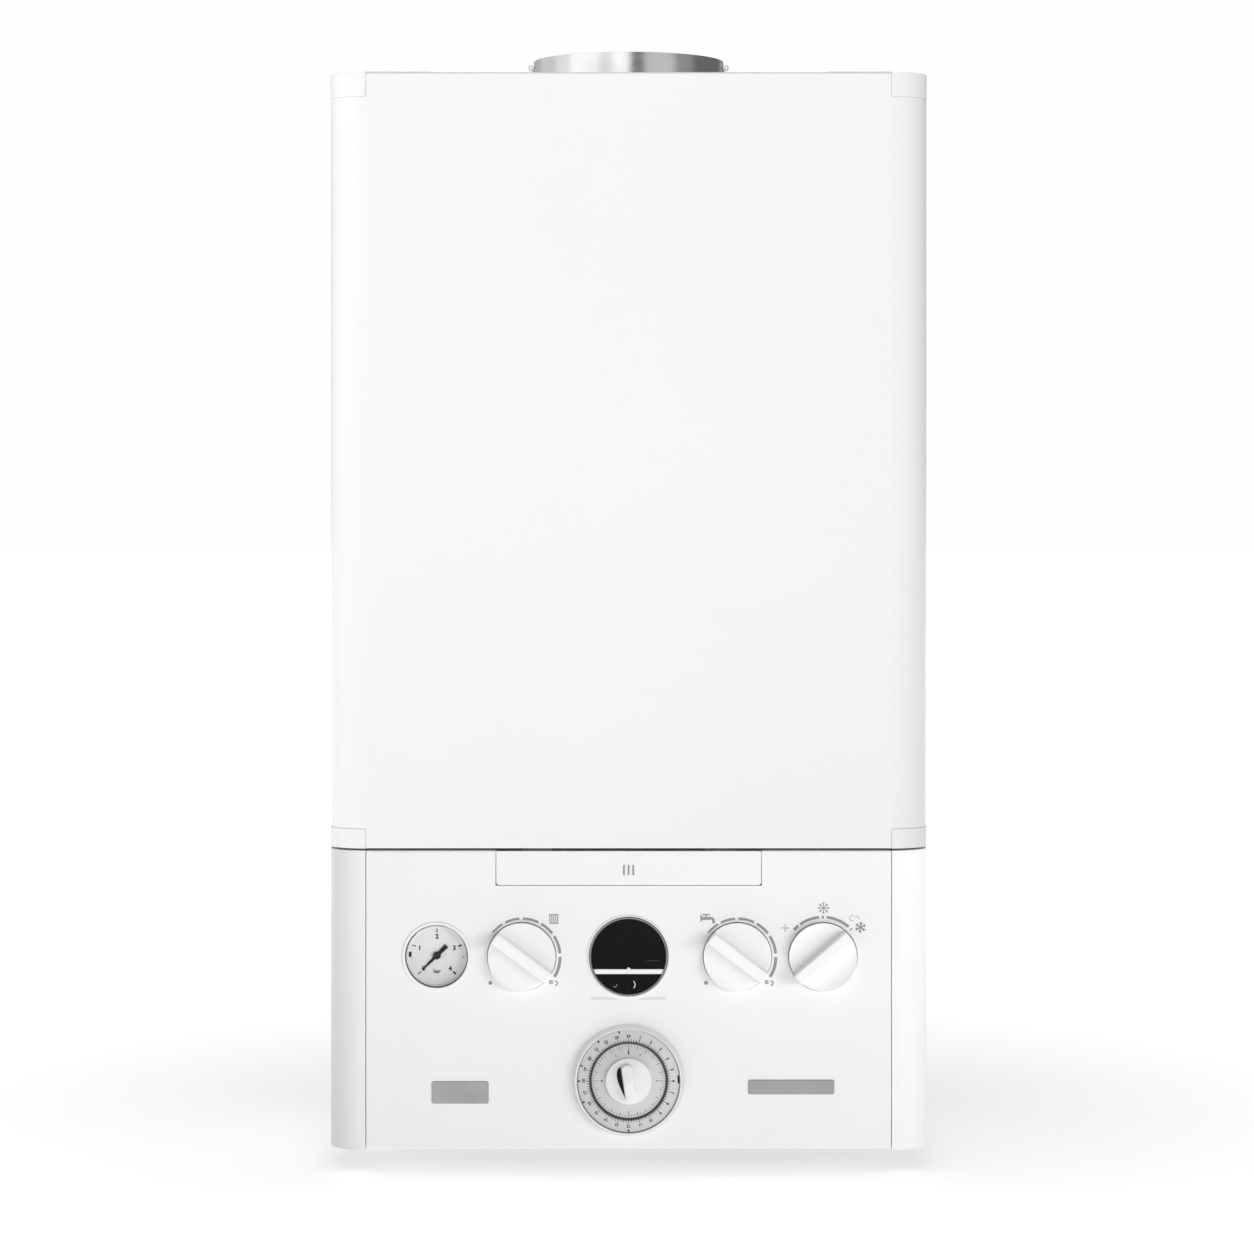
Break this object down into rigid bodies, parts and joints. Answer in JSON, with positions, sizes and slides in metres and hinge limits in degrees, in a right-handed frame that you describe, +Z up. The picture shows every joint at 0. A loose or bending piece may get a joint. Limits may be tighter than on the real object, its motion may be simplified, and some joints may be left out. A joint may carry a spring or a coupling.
{
  "type": "combi boiler",
  "caption": "Wall-hung gas combi boiler with a drop-down control fascia, removable front cover, round dials, pressure gauge, timer and a flue collar on top.",
  "frame": {"origin": "centre of the wall bracket's screw pattern, on the wall plane", "axes": "+Z up, +Y into the wall, +X to the right for someone facing the front; the front faces -Y"},
  "size_m": [0.3906, 0.293, 0.722],
  "materials": {
    "enamel_white": "satin powder coat",
    "galvanised": "zinc-coated sheet",
    "moulding_white": "fine satin moulding",
    "knob_white": "smooth satin moulding",
    "housing_grey": "moulded box",
    "board_green": "solder-masked laminate with dark parts",
    "contact_black": "moulded contact body",
    "dial_silver": "metallic lacquer",
    "tappet_dark": "moulded teeth",
    "dial_face": "printed face",
    "dark_chrome": "polished plated ring",
    "glass_black": "polished smoked window",
    "key_black": "polished key face",
    "clear_glass": "clear window",
    "needle_black": "flat black",
    "collar_steel": "brushed round the axis",
    "spring_steel": "bright strip",
    "duct_white": "flue-grade moulding",
    "cast_aluminium": "as cast",
    "burner_steel": "heat-tinted mesh",
    "zinc_plated": "zinc-plated",
    "ceramic_white": "unglazed",
    "motor_black": "moulded cover",
    "wheel_grey": "moulded blades",
    "composite_dark": "glass-filled composite",
    "pump_iron": "painted casting",
    "rotor_steel": "machined",
    "brass_plain": "machined",
    "copper_plain": "drawn tube",
    "vessel_red": "gloss paint",
    "plate_steel": "brazed plates",
    "trap_grey": "moulded trap"
  },
  "bodies": {
    "chassis": {"case_wrapper": "enamel_white", "back_panel": "galvanised", "bottom_panel": "galvanised", "crossbar": "galvanised", "wall_bracket": "galvanised", "fascia_ends": "moulding_white", "flue_collar": "collar_steel", "collar_clips": "spring_steel", "flue_duct": "duct_white", "heat_exchanger": "cast_aluminium", "exchanger_brackets": "galvanised", "burner_door": "cast_aluminium", "door_nuts": "zinc_plated", "burner": "burner_steel", "electrodes": "ceramic_white", "fan_housing": "cast_aluminium", "fan_motor": "motor_black", "venturi": "cast_aluminium", "gas_valve": "cast_aluminium", "gas_pipes": "copper_plain", "expansion_vessel": "vessel_red", "flow_block": "composite_dark", "diverter_motor": "motor_black", "plate_exchanger": "plate_steel", "return_block": "composite_dark", "pump_body": "pump_iron", "safety_valve": "brass_plain", "water_pipes": "copper_plain", "connection_tails": "copper_plain", "condensate_trap": "trap_grey"},
    "front_cover": {"front_panel": "enamel_white", "corner_caps": "moulding_white", "panel_screws": "zinc_plated"},
    "control_panel": {"fascia": "moulding_white", "control_housing": "housing_grey", "housing_cover": "housing_grey", "control_board": "board_green", "rotary_switches": "contact_black", "display_frame": "moulding_white", "display_ring": "dark_chrome", "display_lens": "glass_black", "gauge_case": "contact_black", "gauge_dial": "dial_face", "gauge_glass": "clear_glass", "timer_case": "moulding_white", "timer_dial": "dial_silver"},
    "flap": {"flap": "moulding_white"},
    "needle": {"gauge_needle": "needle_black"},
    "heating_dial": {"knob_heating": "knob_white"},
    "water_dial": {"knob_hot_water": "knob_white"},
    "mode_dial": {"knob_mode": "knob_white"},
    "restart_key": {"key_restart": "key_black"},
    "preheat_key": {"key_preheat": "key_black"},
    "programme_ring": {"timer_ring": "dial_silver", "timer_tappets": "tappet_dark"},
    "override": {"timer_selector": "knob_white"},
    "blower": {"fan_wheel": "wheel_grey"},
    "impeller": {"pump_rotor": "rotor_steel"},
    "spindle": {"diverter_spindle": "brass_plain"}
  },
  "joints": [
    {"name": "front_cover_slide", "type": "slide", "parent": "chassis", "child": "front_cover", "axis": [0, -1, 0], "range_m": [0, 0.12]},
    {"name": "control_panel_hinge", "type": "hinge", "parent": "chassis", "child": "control_panel", "pos_m": [0, -0.274, -0.628], "axis": [1, 0, 0], "range_deg": [0, 90]},
    {"name": "flap_hinge", "type": "hinge", "parent": "control_panel", "child": "flap", "pos_m": [0, -0.2778, -0.4481], "axis": [-1, 0, 0], "range_deg": [0, 75]},
    {"name": "gauge_needle_turn", "type": "hinge", "parent": "control_panel", "child": "needle", "pos_m": [-0.1246, -0.28, -0.5138], "axis": [0, -1, 0], "range_deg": [-270, 0], "stiffness_Nm_per_rad": 0.0002},
    {"name": "heating_knob_turn", "type": "hinge", "parent": "control_panel", "child": "heating_dial", "pos_m": [-0.0693, -0.28, -0.5138], "axis": [0, -1, 0], "range_deg": [0, 258]},
    {"name": "hot_water_knob_turn", "type": "hinge", "parent": "control_panel", "child": "water_dial", "pos_m": [0.0706, -0.28, -0.5138], "axis": [0, -1, 0], "range_deg": [0, 258]},
    {"name": "mode_knob_turn", "type": "hinge", "parent": "control_panel", "child": "mode_dial", "pos_m": [0.126, -0.28, -0.5138], "axis": [0, -1, 0], "range_deg": [0, 100]},
    {"name": "restart_key_push", "type": "slide", "parent": "control_panel", "child": "restart_key", "axis": [0, 1, 0], "range_m": [0, 0.0015], "stiffness_N_per_m": 500, "springref_m": -0.0012},
    {"name": "preheat_key_push", "type": "slide", "parent": "control_panel", "child": "preheat_key", "axis": [0, 1, 0], "range_m": [0, 0.0015], "stiffness_N_per_m": 500, "springref_m": -0.0012},
    {"name": "programme_ring_turn", "type": "hinge", "parent": "control_panel", "child": "programme_ring", "pos_m": [0, -0.28, -0.594], "axis": [0, -1, 0], "continuous": true},
    {"name": "override_turn", "type": "hinge", "parent": "control_panel", "child": "override", "pos_m": [0, -0.28, -0.594], "axis": [0, -1, 0], "range_deg": [-32.3, 18.7]},
    {"name": "fan_spin", "type": "hinge", "parent": "chassis", "child": "blower", "pos_m": [-0.125, -0.22, -0.143], "axis": [0, -1, 0], "continuous": true},
    {"name": "pump_spin", "type": "hinge", "parent": "chassis", "child": "impeller", "pos_m": [0.13, -0.16, -0.408], "axis": [0, -1, 0], "continuous": true},
    {"name": "diverter_stroke", "type": "slide", "parent": "chassis", "child": "spindle", "axis": [0, 0, -1], "range_m": [0, 0.004]}
  ]
}
